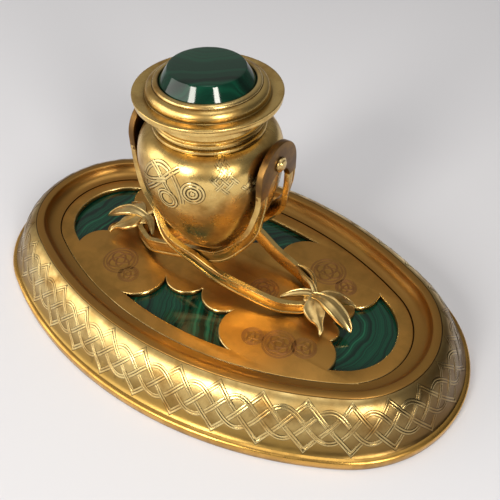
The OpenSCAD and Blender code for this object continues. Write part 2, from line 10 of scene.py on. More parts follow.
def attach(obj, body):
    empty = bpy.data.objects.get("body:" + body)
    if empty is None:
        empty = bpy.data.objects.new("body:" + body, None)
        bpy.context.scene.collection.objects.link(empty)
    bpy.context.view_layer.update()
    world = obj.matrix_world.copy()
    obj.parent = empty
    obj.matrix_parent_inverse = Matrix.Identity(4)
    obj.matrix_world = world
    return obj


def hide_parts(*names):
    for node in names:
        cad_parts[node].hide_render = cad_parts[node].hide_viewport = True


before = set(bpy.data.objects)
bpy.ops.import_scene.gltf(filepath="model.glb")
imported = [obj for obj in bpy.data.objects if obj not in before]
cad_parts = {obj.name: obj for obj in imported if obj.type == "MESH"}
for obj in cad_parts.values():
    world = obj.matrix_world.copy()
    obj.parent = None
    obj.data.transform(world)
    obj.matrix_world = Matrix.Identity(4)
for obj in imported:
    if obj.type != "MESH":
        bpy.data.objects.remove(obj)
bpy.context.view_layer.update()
mm = 0.001
scene = bpy.context.scene
print("frame loaded")

# the tray's outline: four arcs, and everything on it is an inset from the foot's edge
tray = {
    "length": 240, "width": 149, "endRadius": 58.5,
    "lipHeight": 25, "lipInset": 16.2, "lipWidth": 4,
    "coveWidth": 6.6, "coveDepth": 6, "plateThickness": 2.8, "slabThickness": 2,
}
endCentre = tray["length"] / 2 - tray["endRadius"]
halfWidth = tray["width"] / 2
sideRadius = endCentre ** 2 + halfWidth ** 2 - tray["endRadius"] ** 2
sideRadius /= 2 * (halfWidth - tray["endRadius"])
sideCentre = sideRadius - halfWidth
arcAngle = math.atan2(sideCentre, endCentre)
coveInset = tray["lipInset"] + tray["lipWidth"]
fretInset = coveInset + tray["coveWidth"]
fretTop = tray["lipHeight"] - tray["coveDepth"]
fretBottom = fretTop - tray["plateThickness"]
shelfHeight = fretBottom - tray["slabThickness"]
sideAngle = math.pi - 2 * arcAngle
# the arcs in turn, from the middle of the front towards +X: centre x, centre y, radius, first angle, sweep
trayArcs = [
    (0, sideCentre, sideRadius, -math.pi / 2, sideAngle / 2),
    (endCentre, 0, tray["endRadius"], -arcAngle, 2 * arcAngle),
    (0, -sideCentre, sideRadius, arcAngle, sideAngle),
    (-endCentre, 0, tray["endRadius"], math.pi - arcAngle, 2 * arcAngle),
    (0, sideCentre, sideRadius, math.pi + arcAngle, sideAngle / 2),
]
perimeter = sum(radius * sweep for _, _, radius, _, sweep in trayArcs)


def bezier(points, t):
    a, b, c, d = (Vector(p) for p in points)
    return a * (1 - t) ** 3 + b * 3 * t * (1 - t) ** 2 + c * 3 * t * t * (1 - t) + d * t ** 3


def curvePoints(points, steps, first=0):
    return [tuple(bezier(points, i / steps)) for i in range(first, steps + 1)]


def mirrored(half, middle=()):  # a half outline, what lies between, and the half again the other way round
    return half + list(middle) + [(-x, y) for x, y in reversed(half)]


def onOutline(along, inset):  # point at a length along the foot's edge, moved in by an inset
    along %= perimeter
    for x, y, radius, start, sweep in trayArcs:
        if along <= radius * sweep:
            break
        along -= radius * sweep
    angle = start + along / radius
    direction = Vector((math.cos(angle), math.sin(angle)))
    return Vector((x, y)) + direction * (radius - inset), direction


def alongOutline(x, y):  # the reverse: length along the foot's edge of a point on the tray
    done = 0
    for cx, cy, radius, start, sweep in trayArcs:
        angle = math.atan2(y - cy, x - cx)
        turn = (angle - start) % (2 * math.pi)
        if turn > sweep + 0.02:
            turn -= 2 * math.pi
        near = -0.001 <= turn <= sweep + 0.001
        beyond = (abs(x) > endCentre and abs(math.atan2(y, abs(x) - endCentre)) <= arcAngle + 0.001)
        if near and (beyond == (cy == 0)):
            return done + radius * max(turn, 0), radius - math.hypot(x - cx, y - cy)
        done += radius * sweep
    return 0, 0


# small helpers
def linearColour(code, alpha=1):
    channels = [int(code[i:i + 2], 16) / 255 for i in (1, 3, 5)]
    return tuple(c / 12.92 if c <= 0.04045 else ((c + 0.055) / 1.055) ** 2.4 for c in channels) + (alpha,)


def addNode(tree, kind, settings=None, inputs=None):
    node = tree.nodes.new("ShaderNode" + kind)
    for key, value in (settings or {}).items():
        setattr(node, key, value)
    for key, value in (inputs or {}).items():
        if isinstance(value, bpy.types.NodeSocket):
            tree.links.new(value, node.inputs[key])
        else:
            node.inputs[key].default_value = value
    return node


def deselectAll():
    bpy.ops.object.select_all(action="DESELECT")


def makeActive(piece):
    deselectAll()
    piece.select_set(True)
    bpy.context.view_layer.objects.active = piece


def addObject(name, data):
    thing = bpy.data.objects.new(name, data)
    scene.collection.objects.link(thing)
    return thing


def newPiece(name, points, edges=(), faces=()):
    mesh = bpy.data.meshes.new(name)
    mesh.from_pydata([Vector(p) * mm for p in points], edges, faces)
    return addObject(name, mesh)


def editAll(piece):  # into edit mode with everything selected
    makeActive(piece)
    bpy.ops.object.mode_set(mode="EDIT")
    bpy.ops.mesh.select_all(action="SELECT")


def finishMesh(piece, sharpAngle=35, merge=0.002):
    editAll(piece)
    bpy.ops.mesh.remove_doubles(threshold=merge * mm)
    bpy.ops.mesh.normals_make_consistent(inside=False)
    bpy.ops.object.mode_set(mode="OBJECT")
    bpy.ops.object.shade_smooth_by_angle(angle=math.radians(sharpAngle))


def dress(piece, material, body, slot, *nodes):
    piece.data.materials.clear()
    piece.data.materials.append(material)
    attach(piece, body)
    if nodes:
        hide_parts(*nodes)
    return piece


def spinMesh(piece, arcs):  # each arc is (centre x, centre y, steps, angle), round an upright axis
    editAll(piece)
    for x, y, steps, angle in arcs:
        bpy.ops.mesh.spin(steps=steps, angle=angle, center=(x * mm, y * mm, 0), axis=(0, 0, 1))
    bpy.ops.object.mode_set(mode="OBJECT")


def spinPiece(name, profile, centre, steps=160, sharpAngle=35, closed=True):
    # a profile of [radius, height], spun round an upright axis
    points = [(centre + r, 0, z) for r, z in profile]
    edges = [(i, i + 1) for i in range(len(points) - 1)] + ([(len(points) - 1, 0)] if closed else [])
    piece = newPiece(name, points, edges)
    spinMesh(piece, [(centre, 0, steps, 2 * math.pi)])
    finishMesh(piece, sharpAngle)
    return piece


def ovalPiece(name, section, stepLength=1.6, sharpAngle=35):
    # a closed section of [inset, height], spun round the four arcs in turn
    points = []
    for inset, z in section:
        xy = onOutline(0, inset)[0]
        points.append((xy.x, xy.y, z))
    edges = [(i, (i + 1) % len(points)) for i in range(len(points))]
    piece = newPiece(name, points, edges)
    spinMesh(piece, [(x, y, round(radius * sweep / stepLength), spinWay * sweep)
                     for x, y, radius, _, sweep in trayArcs])
    finishMesh(piece, sharpAngle)
    return piece


# spin turns one way or the other by version, so a single point is tried first
trial = newPiece("trial", [(1, 0, 0)])
spinMesh(trial, [(0, 0, 1, math.pi / 2)])
spinWay = 1 if max(v.co.y for v in trial.data.vertices) > 0.5 * mm else -1
bpy.data.objects.remove(trial)


def layUv(piece, find, wrap):
    # find gives (u, v) in millimetres for a point, and wrap is the length at which u starts again
    layer = piece.data.uv_layers.new(name="UVMap").data
    mesh = piece.data
    for face in mesh.polygons:
        corners = [find(mesh.vertices[mesh.loops[i].vertex_index].co / mm) for i in face.loop_indices]
        low = min(c[0] for c in corners)
        high = max(c[0] for c in corners)
        for i, (u, v) in zip(face.loop_indices, corners):
            layer[i].uv = (u + wrap if high - low > wrap / 2 and u < wrap / 2 else u, v)


# materials
def newMaterial(name):
    material = bpy.data.materials.new(name)
    material.use_nodes = True
    tree = material.node_tree
    tree.nodes.clear()
    return material, tree


# cast bronze, fire-gilt and burnished, with browner, rougher patches where the gilding is worn
# the darkest colour stands for patina and painted shade in hollows, and two more paint shade on the border's
# lower part and at the tray's ends
giltBronze = {
    "gold": "#E6C47A", "worn": "#A67E40", "shadeAndPatina": "#38260F", "endShadeColour": "#6A5030", "lowShadeColour": "#A08042",
    "patchSize": 12, "grainSize": 0.5, "roughness": 0.24, "wornRoughness": 0.42,
}


def makeGilt(name, gold=None, roughness=None, grooves=None, cells=False, ends=0, bump=0.25):
    # grooves darkens the edges and the middle of an engraved band as painted shade in its grooves, cells
    # hatches a matted ground, and ends darkens the tray's ends as painted shade
    material, tree = newMaterial("gilt bronze, " + name)
    settings = dict(giltBronze)
    settings["gold"] = gold or settings["gold"]
    settings["roughness"] = roughness or settings["roughness"]
    place = addNode(tree, "TexCoord").outputs["Object"]
    patches = addNode(tree, "TexNoise", {}, {
        "Vector": place, "Scale": 1000 / settings["patchSize"], "Detail": 5.0, "Roughness": 0.6,
    }).outputs["Fac"]
    grain = addNode(tree, "TexNoise", {}, {
        "Vector": place, "Scale": 1000 / settings["grainSize"], "Detail": 3.0}).outputs["Fac"]
    wear = addNode(tree, "MapRange", {}, {
        "Value": patches, "From Min": 0.42, "From Max": 0.72}).outputs["Result"]
    covers = [(wear, "worn")]  # colours laid over the gold in turn, each with its amount
    # ambient occlusion darkens crevices towards the darkest colour: partly real patina, partly painted shade
    crevice = addNode(tree, "AmbientOcclusion", {"samples": 8}, {"Distance": 0.004}).outputs["AO"]
    shadeAndPatinaAmount = addNode(tree, "MapRange", {}, {
        "Value": crevice, "From Min": 0.35, "From Max": 0.9, "To Min": 0.75, "To Max": 0.0}).outputs["Result"]
    # painted shade: an engraved band's edges and middle groove are darkened
    if grooves:
        across = addNode(tree, "SeparateXYZ", {}, {
            0: addNode(tree, "UVMap").outputs["UV"]}).outputs["Y"]
        width = addNode(tree, "Math", {"operation": "ABSOLUTE"}, {0: across}).outputs[0]
        edge = addNode(tree, "MapRange", {}, {
            "Value": width, "From Min": 0.68, "From Max": 0.84}).outputs["Result"]
        middle = addNode(tree, "MapRange", {}, {
            "Value": width, "From Min": 0.1, "From Max": 0.26, "To Min": 0.85, "To Max": 0.0,
        }).outputs["Result"]
        cut = addNode(tree, "Math", {"operation": "MAXIMUM"}, {0: edge, 1: middle}).outputs[0]
        depth = addNode(tree, "Math", {"operation": "MULTIPLY"}, {0: cut, 1: grooves}).outputs[0]
        shadeAndPatinaAmount = addNode(tree, "Math", {"operation": "MAXIMUM"}, {0: shadeAndPatinaAmount, 1: depth}).outputs[0]
    if cells:
        inside = addNode(tree, "Attribute", {"attribute_name": "cell"}).outputs["Fac"]
        uv = addNode(tree, "UVMap").outputs["UV"]
        up = addNode(tree, "SeparateXYZ", {}, {0: uv}).outputs["Y"]
        # hatching lines 0.5 mm apart, drawn a little coarser than the real ones so that they show
        lines = addNode(tree, "Math", {"operation": "SINE"}, {
            0: addNode(tree, "Math", {"operation": "MULTIPLY"}, {
                0: up, 1: 2 * math.pi / 0.5}).outputs[0]}).outputs[0]
        hatch = addNode(tree, "MapRange", {}, {
            "Value": lines, "From Min": -1.0, "From Max": 1.0, "To Min": 0.12, "To Max": 0.5,
        }).outputs["Result"]
        ground = addNode(tree, "Math", {"operation": "MULTIPLY"}, {0: inside, 1: hatch}).outputs[0]
        shadeAndPatinaAmount = addNode(tree, "Math", {"operation": "MAXIMUM"}, {0: shadeAndPatinaAmount, 1: ground}).outputs[0]
        # painted shade: the border darkens towards its lower part
        low = addNode(tree, "MapRange", {}, {
            "Value": up, "From Min": 4.0, "From Max": 11.0, "To Min": 0.95, "To Max": 0.0}).outputs["Result"]
        covers.append((low, "lowShadeColour"))
    # painted shade: the tray's ends darken
    if ends:
        away = addNode(tree, "Math", {"operation": "ABSOLUTE"}, {
            0: addNode(tree, "SeparateXYZ", {}, {0: place}).outputs["X"]}).outputs[0]
        endShadeAmount = addNode(tree, "MapRange", {}, {
            "Value": away, "From Min": 0.07, "From Max": 0.112, "To Min": 0.0, "To Max": ends,
        }).outputs["Result"]
        covers.append((endShadeAmount, "endShadeColour"))
    colour = linearColour(settings["gold"])
    for amount, key in covers + [(shadeAndPatinaAmount, "shadeAndPatina")]:
        colour = addNode(tree, "Mix", {"data_type": "RGBA"}, {
            0: amount, 6: colour, 7: linearColour(settings[key])}).outputs[2]
    rough = addNode(tree, "MapRange", {}, {
        "Value": wear, "To Min": settings["roughness"], "To Max": settings["wornRoughness"],
    }).outputs["Result"]
    normal = addNode(tree, "Bump", {}, {
        "Strength": bump, "Distance": 0.00008, "Height": grain}).outputs["Normal"]
    shader = addNode(tree, "BsdfPrincipled", {}, {
        "Base Color": colour, "Metallic": 1.0, "Roughness": rough, "Normal": normal})
    addNode(tree, "OutputMaterial", {}, {"Surface": shader.outputs[0]})
    return material


# polished malachite: bands from near black to mid green under a hard, clear gloss
malachite = {"dark": "#031811", "deep": "#072E21", "mid": "#0A3F2D", "light": "#195A40"}


def makeMalachite(name, centre, bandWidth, warp, tint=1.0, roughness=0.08):
    material, tree = newMaterial(name)
    place = addNode(tree, "TexCoord").outputs["Object"]
    moved = addNode(tree, "Mapping", {}, {
        "Vector": place, "Location": Vector(centre) * -mm}).outputs["Vector"]
    drift = addNode(tree, "TexNoise", {}, {
        "Vector": moved, "Scale": 1000 / warp, "Detail": 2.0, "Roughness": 0.4}).outputs["Color"]
    shift = addNode(tree, "VectorMath", {"operation": "MULTIPLY_ADD"}, {
        0: drift, 1: (warp * mm * 0.6,) * 3, 2: moved}).outputs["Vector"]
    flat = addNode(tree, "VectorMath", {"operation": "MULTIPLY"}, {
        0: shift, 1: (1.0, 1.0, 0.0)}).outputs["Vector"]
    radius = addNode(tree, "VectorMath", {"operation": "LENGTH"}, {0: flat}).outputs["Value"]
    bands = addNode(tree, "TexNoise", {"noise_dimensions": "1D"}, {
        "W": radius, "Scale": 1000 / bandWidth, "Detail": 2.5, "Roughness": 0.6}).outputs["Fac"]
    ramp = addNode(tree, "ValToRGB", {}, {"Fac": bands})
    stops = [(0.32, "dark"), (0.46, "deep"), (0.54, "mid"), (0.60, "deep"), (0.72, "light")]
    while len(ramp.color_ramp.elements) < len(stops):
        ramp.color_ramp.elements.new(0.5)
    for element, (position, key) in zip(ramp.color_ramp.elements, stops):
        element.position = position
        element.color = [c * tint for c in linearColour(malachite[key])[:3]] + [1]
    shader = addNode(tree, "BsdfPrincipled", {}, {
        "Base Color": ramp.outputs["Color"], "Roughness": roughness, "IOR": 1.5})
    addNode(tree, "OutputMaterial", {}, {"Surface": shader.outputs[0]})
    return material


def makePlain(name, code, roughness, metallic=0.0, alpha=1.0, grain=0.6, bump=0.2):
    material, tree = newMaterial(name)
    place = addNode(tree, "TexCoord").outputs["Object"]
    noise = addNode(tree, "TexNoise", {}, {
        "Vector": place, "Scale": 1000 / grain, "Detail": 3.0}).outputs["Fac"]
    colour = addNode(tree, "Mix", {"data_type": "RGBA"}, {
        0: noise, 6: linearColour(code), 7: [c * 0.6 for c in linearColour(code)[:3]] + [1]}).outputs[2]
    normal = addNode(tree, "Bump", {}, {
        "Strength": bump, "Distance": 0.0002, "Height": noise}).outputs["Normal"]
    shader = addNode(tree, "BsdfPrincipled", {}, {
        "Base Color": colour, "Metallic": metallic, "Roughness": roughness, "Normal": normal, "Alpha": alpha})
    addNode(tree, "OutputMaterial", {}, {"Surface": shader.outputs[0]})
    return material


giltPolished = makeGilt("burnished")
# painted shade: the plate takes a darker, browner copy of the gilt
giltPlate = makeGilt("brushed plate, darkened as painted shade", gold="#C8954C", roughness=0.36)
# painted shade: the rim takes a darker copy of the gilt
giltRim = makeGilt("rim, darkened as painted shade", gold="#AE8042", roughness=0.32)
# painted shade: the ear's face takes a much darker copy of the gilt
giltEar = makeGilt("ear face, darkened as painted shade", gold="#6B4F2E", roughness=0.38)
# painted shade: the engraved bands and the border darken towards the tray's ends
giltEngraved = makeGilt("engraved band", gold="#F4DA96", roughness=0.22, grooves=0.95, ends=0.75)
# painted shade: the border also darkens towards its lower part
giltBorder = makeGilt("matted ground", gold="#F0D088", cells=True, ends=0.85, roughness=0.28)
giltLeaf = makeGilt("chased leaf", gold="#F2D592", roughness=0.28)
giltFoot = makeGilt("foot band", gold="#DDAC58")
# painted shade: the traced lines, like the engraved bands, are darkened along their grooves
giltTraced = makeGilt("traced line", gold="#B07C4C", roughness=0.4, grooves=0.55)
# painted highlight: a lighter copy of the gilt, for the plate's rounded edges, the bezel and the studs
giltHighlight = makeGilt("painted highlight", gold="#EBCD8A", roughness=0.2)
slabMalachite = makeMalachite("malachite veneer", (54, 1, 0), 3.2, 20)
stoneMalachite = makeMalachite("malachite cabochon", (-9, 22, 0), 9, 18, tint=0.9)
brassBed = makePlain("cast brass, unpolished", "#8C6B35", 0.5, 1.0)
steelScrew = makePlain("turned steel", "#8E8E90", 0.35, 1.0)
boardWood = makePlain("stained beech board", "#4A2E18", 0.6, 0.0, 1.0, 2.0)
greenFelt = makePlain("green wool felt", "#1C4A30", 0.95, 0.0, 1.0, 0.8, 0.8)
linerGlass = makePlain("pressed glass", "#DCE8E6", 0.08, 0.0, 0.4)
print("materials made")

# tray mouldings
footBand = ovalPiece("foot_band_ring", [
    (0.5, 0.3), (0.2, 0.45), (0.05, 0.9), (0.05, 3.9), (0.2, 4.4), (0.5, 4.8), (1.1, 5.15), (1.9, 5.36),
    (2.6, 5.4), (8, 5.4), (8, 4.0), (5, 4.0), (5, 0.3)])
dress(footBand, giltFoot, "base", "gilt_bronze", "foot_band")

borderFoot = 5.5
borderCurve = [(2.2, 5.4), (5.5, 7.4), (8, 22), (16.2, 24.7)]
borderSteps = 40
borderProfile = curvePoints(borderCurve, borderSteps)
borderLengths = [0]
for first, second in zip(borderProfile, borderProfile[1:]):
    borderLengths.append(borderLengths[-1] + math.dist(first, second))
borderRise = borderLengths[-1]


def onBorder(along, up, lift):  # a point on the border's outer face
    up = max(0, min(borderRise, up))
    i = min(bisect.bisect_right(borderLengths, up), len(borderProfile) - 1)
    part = (up - borderLengths[i - 1]) / (borderLengths[i] - borderLengths[i - 1])
    first, second = Vector(borderProfile[i - 1]), Vector(borderProfile[i])
    inset, z = first.lerp(second, part)
    t = (i - 1 + part) / borderSteps
    slope = (bezier(borderCurve, min(1, t + 0.01)) - bezier(borderCurve, max(0, t - 0.01))).normalized()
    xy, out = onOutline(along, inset - slope.y * lift)
    return Vector((xy.x, xy.y, z + slope.x * lift))


border = ovalPiece("plinth_border_ring", borderProfile + [
    (16.2, shelfHeight), (19.2, shelfHeight), (19.2, shelfHeight - 2), (10.5, shelfHeight - 2),
    (6.4, 8), (5.3, 5.4)], 1.2)


def borderUv(p):
    along, inset = alongOutline(p.x, p.y)
    away = [abs(x - inset) + abs(z - p.z) for x, z in borderProfile]
    return along, borderLengths[away.index(min(away))]


layUv(border, borderUv, perimeter)

strapwork = {  # one zigzag and one wave, each going twice round, engraved as double bands
    "repeats": 33, "firstColumn": 3.4, "halfBand": 1.3,
    "zigzagMiddle": 12.1, "zigzagRise": 10.1, "waveMiddle": 12.4, "waveRise": 6.7, "relief": 0.1,
    "stepsPerPitch": 24, "crossingLift": 0.09, "crossingReach": 0.16,
}
pitch = perimeter / strapwork["repeats"]


def zigzagHeight(x):  # x in pitches from a low point, period 2
    turn = abs((x % 2) - 1)
    return strapwork["zigzagMiddle"] + strapwork["zigzagRise"] * (1 - 2 * turn)


def waveHeight(x):
    return strapwork["waveMiddle"] + strapwork["waveRise"] * math.sin(math.pi * x)


def markCells(piece):
    values = []
    for vertex in piece.data.vertices:
        p = vertex.co / mm
        along, up = borderUv(p)
        x = (along - strapwork["firstColumn"]) / pitch
        bands = zigzagHeight(x), zigzagHeight(x + 1), waveHeight(x), waveHeight(x + 1)
        values.append(1.0 if p.z > borderFoot and min(bands) < up < max(bands) else 0.0)
    attribute = piece.data.attributes.new("cell", "FLOAT", "POINT")
    attribute.data.foreach_set("value", values)


markCells(border)
dress(border, giltBorder, "base", "gilt_bronze", "plinth_border")

rimOuter = tray["lipInset"] + 0.1
trayRim = ovalPiece("tray_rim_ring", [
    (rimOuter, shelfHeight), (rimOuter, 24.2), (rimOuter + 0.1, 24.6), (rimOuter + 0.35, 24.9),
    (rimOuter + 0.8, 25), (coveInset - 1.0, 25), (coveInset - 0.4, 24.9), (coveInset - 0.1, 24.65)]
    + curvePoints([
        (coveInset, 24.4), (coveInset + 0.6, 21.4), (fretInset - 4.6, 19.3), (fretInset, 19.15)], 12)
    + [(fretInset, fretBottom), (29.8, fretBottom), (29.8, shelfHeight)])
# the rim's darker gilt is painted shade
dress(trayRim, giltRim, "base", "gilt_bronze", "tray_rim")
print("tray mouldings made")


# bands that lie on a surface
bandTop = 0.1
bandShape = mirrored([(-1, -0.16), (-0.9, 0.02), (-0.8, bandTop), (-0.14, bandTop)], [(0, -0.02)])


def bandMesh(name, strands, place, halfBand, relief):
    # each strand is (points of [u, v, lift], closed, wrap), and place(u, v, lift) puts a point on the surface
    points, faces, marks = [], [], []
    for path, closed, wrap in strands:
        count = len(path)
        first = len(points)
        for k in range(count):
            here = Vector(path[k][:2])
            before = Vector(path[k - 1][:2]) if k or closed else here
            after = Vector(path[(k + 1) % count][:2]) if k < count - 1 or closed else here
            if closed and k == 0:
                before.x -= wrap
            if closed and k == count - 1:
                after.x += wrap
            outof = (after - here).normalized()
            into = (here - before).normalized() if (here - before).length > 1e-6 else outof
            outof = outof if (after - here).length > 1e-6 else into
            side = (Vector((-into.y, into.x)) + Vector((-outof.y, outof.x))).normalized()
            mitre = 1 / max(0.35, side.dot(Vector((-into.y, into.x))))
            for across, up in bandShape:
                spot = here + side * across * halfBand * mitre
                points.append(place(spot.x, spot.y, up * relief / bandTop + path[k][2]))
                marks.append((k, across))
        width = len(bandShape)
        for k in range(count if closed else count - 1):
            for j in range(width - 1):
                a = first + k * width + j
                b = first + ((k + 1) % count) * width + j
                faces.append((a, b, b + 1, a + 1))
    piece = newPiece(name, points, (), faces)
    makeActive(piece)
    layer = piece.data.uv_layers.new(name="UVMap").data
    for loop in piece.data.loops:
        layer[loop.index].uv = marks[loop.vertex_index]
    bpy.ops.object.shade_smooth_by_angle(angle=math.radians(50))
    return piece


def overUnder(x, crossings):  # lift near crossings: (place, 1 over or -1 under), x and places in pitches
    lift = 0
    for spot, way in crossings:
        away = abs((x - spot + 1) % 2 - 1)
        if away < strapwork["crossingReach"]:
            part = 0.5 + 0.5 * math.cos(math.pi * away / strapwork["crossingReach"])
            lift += way * strapwork["crossingLift"] * part
    return lift


# a rising leg goes under, over, under, and a falling one over, under, over
legCrossings = [(0.27, -1), (0.5, 1), (0.75, -1), (1.25, 1), (1.5, -1), (1.73, 1)]
waveCrossings = [(0, 1), (0.27, -1), (0.75, 1), (1, -1), (1.25, 1), (1.75, -1)]
zigzag = []
wave = []
for k in range(2 * strapwork["repeats"] * strapwork["stepsPerPitch"]):
    x = k / strapwork["stepsPerPitch"]
    along = strapwork["firstColumn"] + x * pitch
    zigzag.append((along, zigzagHeight(x), overUnder(x, legCrossings)))
    wave.append((along, waveHeight(x), overUnder(x, waveCrossings)))
strands = [(zigzag, True, 2 * perimeter), (wave, True, 2 * perimeter)]
borderBands = bandMesh("border_strapwork", strands, onBorder, strapwork["halfBand"], strapwork["relief"])
dress(borderBands, giltEngraved, "base", "gilt_bronze")
print("border engraved")


# fretwork: one plate with four openings, each a loop of arcs
fret = {
    "openInset": 33.7, "cusp": 16.9,
    "scallop": (10.3, -13.7, 10.6), "lobe": (31, -25, 13.5),
    "endLobe": (58.3, 21.3, 11.4), "endScallop": (58.9, 7.2, 5.6), "endEdge": 59.8,
    "edge": 0.8, "outerSteps": 400,
}


def circlesMeet(first, second, pick):  # circles as (x, y, r), and the meeting point that pick ranks lowest
    a, b = Vector(first[:2]), Vector(second[:2])
    away = (b - a).length
    along = (away ** 2 + first[2] ** 2 - second[2] ** 2) / (2 * away)
    out = math.sqrt(first[2] ** 2 - along ** 2)
    way = (b - a) / away
    side = Vector((-way.y, way.x))
    return min((a + way * along + side * out, a + way * along - side * out), key=pick)


def arcBetween(circle, start, end, turn, spacing=0.5):  # turn is 1 for anticlockwise
    x, y, radius = circle
    first = math.atan2(start[1] - y, start[0] - x)
    sweep = (math.atan2(end[1] - y, end[0] - x) - first) * turn % (2 * math.pi)
    steps = max(2, round(radius * sweep / spacing))
    return [(x + radius * math.cos(first + turn * sweep * k / steps),
             y + radius * math.sin(first + turn * sweep * k / steps)) for k in range(steps + 1)]


def sideLoop():
    oval = (0, sideCentre, sideRadius - fret["openInset"])
    corner = circlesMeet(oval, fret["lobe"], lambda p: p.y)
    notch = circlesMeet(fret["lobe"], fret["scallop"], lambda p: p.y)
    x, y, radius = fret["scallop"]
    cusp = (x - math.sqrt(radius ** 2 - (fret["cusp"] + y) ** 2), -fret["cusp"])
    right = arcBetween(fret["lobe"], corner, notch, -1) + arcBetween(fret["scallop"], notch, cusp, -1)[1:]
    outline = mirrored(right)
    return outline + arcBetween(oval, outline[-1], corner, 1)[1:-1]


def endLoop():
    oval = (0, -sideCentre, sideRadius - fret["openInset"])
    corner = circlesMeet(oval, fret["endLobe"], lambda p: -p.x)
    notch = circlesMeet(fret["endLobe"], fret["endScallop"], lambda p: -p.x)
    x, y, radius = fret["endScallop"]
    stop = (fret["endEdge"], y - math.sqrt(radius ** 2 - (fret["endEdge"] - x) ** 2))
    back = arcBetween(fret["endLobe"], corner, notch, -1)
    back += arcBetween(fret["endScallop"], notch, stop, -1)[1:]
    front = [(px, -py) for px, py in reversed(back)]
    first, last = alongOutline(corner.x, -corner.y)[0], alongOutline(corner.x, corner.y)[0]
    steps = round((last - first) / 0.8)
    places = [first + (last - first) * k / steps for k in range(1, steps)]
    return back + front + [tuple(onOutline(along, fret["openInset"])[0]) for along in places]


def flatPiece(name, loops, bottom, top, edge):
    # a flat curve with rounded edges, filled between its loops and made a mesh
    data = bpy.data.curves.new(name, "CURVE")
    data.dimensions = "2D"
    data.fill_mode = "BOTH"
    data.extrude = ((top - bottom) / 2 - edge) * mm
    data.bevel_depth = edge * mm
    data.bevel_resolution = 3
    data.offset = -edge * mm
    for loop in loops:
        spline = data.splines.new("POLY")
        spline.points.add(len(loop) - 1)
        for point, (x, y) in zip(spline.points, loop):
            point.co = (x * mm, y * mm, 0, 1)
        spline.use_cyclic_u = True
    piece = addObject(name, data)
    makeActive(piece)
    bpy.ops.object.convert(target="MESH")
    piece.location.z = (top + bottom) / 2 * mm
    bpy.ops.object.transform_apply()
    finishMesh(piece, 30, 0.02)
    return piece


places = [perimeter * k / fret["outerSteps"] for k in range(fret["outerSteps"])]
outerLoop = [tuple(onOutline(along, fretInset + 0.1)[0]) for along in places]
side = sideLoop()
end = endLoop()
plateLoops = [outerLoop, side, [(x, -y) for x, y in side], end, [(-x, y) for x, y in end]]
fretPlate = flatPiece("fret_plate_pierced", plateLoops, fretBottom, fretTop, fret["edge"])
# the plate's darker gilt is painted shade
dress(fretPlate, giltPlate, "base", "gilt_bronze", "fret_plate")
# painted highlight: the plate's rounded edges get the lighter gilt
fretPlate.data.materials.append(giltHighlight)
for face in fretPlate.data.polygons:  # the rounded upper edges take the lighter gilt, a painted highlight
    face.material_index = 1 if 0.05 < face.normal.z < 0.97 else 0
print("fretwork made")

# stones and hidden pieces keep their CAD solids
for names, material in (
        (("malachite_left", "malachite_right", "malachite_front", "malachite_back"), slabMalachite),
        (("bed_plate",), brassBed), (("bed_screws", "board_screws", "leaf_screws", "hinge_pin"), steelScrew),
        (("base_board",), boardWood), (("base_felt",), greenFelt), (("ink_liner",), linerGlass)):
    for name in names:
        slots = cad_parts[name].data.materials
        slots.clear()
        slots.append(material)

# pot: a lathe-turned vase
pot = {
    "x": -3.6, "foot": 8, "bottom": 39.8, "radius": 29.3, "wide": 83, "neck": 97, "shoulder": 21.9,
    "throat": 19.1, "steps": 192,
}
potLower = [(pot["foot"], pot["bottom"]), (14.5, 40), (29, 60), (pot["radius"], pot["wide"])]
potUpper = [(pot["radius"], pot["wide"]), (pot["radius"], 90), (27.6, 95.4), (pot["shoulder"], pot["neck"])]
potProfile = curvePoints(potLower, 40) + curvePoints(potUpper, 24, 1)
potInner = (curvePoints([(pot["throat"], 97), (24.9, 93.6), (27.3, 90), (27.3, 83)], 10)
            + curvePoints([(27.3, 83), (27, 60.5), (13.5, 42.6), (7, 41.8)], 14, 1))
potBody = spinPiece("pot_body_turned", [(0, pot["bottom"])] + potProfile + potInner + [(0, 41.8)],
                    pot["x"], pot["steps"], closed=False)
dress(potBody, giltPolished, "base", "gilt_bronze", "pot_body")


def onPot(along, z, lift):  # along is the length round the pot at its widest, from the front towards +X
    i = 1
    while i < len(potProfile) - 1 and potProfile[i][1] < z:
        i += 1
    first, second = Vector(potProfile[i - 1]), Vector(potProfile[i])
    part = (z - first.y) / (second.y - first.y)
    radius = first.lerp(second, part).x
    slope = (second - first).normalized()
    radius += slope.y * lift
    angle = along / pot["radius"]
    return Vector((pot["x"] + radius * math.sin(angle), -radius * math.cos(angle), z - slope.x * lift))


# engraved knots: bands that pass over and under one another
def crossings(paths):  # where two closed paths, or one with itself, cross
    found = []
    for i, first in enumerate(paths):
        for j in range(i, len(paths)):
            second = paths[j]
            for a in range(len(first)):
                p, q = Vector(first[a]), Vector(first[(a + 1) % len(first)])
                for b in range(a + 2 if i == j else 0, len(second)):
                    if i == j and a == 0 and b == len(first) - 1:
                        continue
                    r, t = Vector(second[b]), Vector(second[(b + 1) % len(second)])
                    if abs(p.x - r.x) + abs(p.y - r.y) < 3 and intersect_line_line_2d(p, q, r, t):
                        found.append(((i, a), (j, b)))
    return found


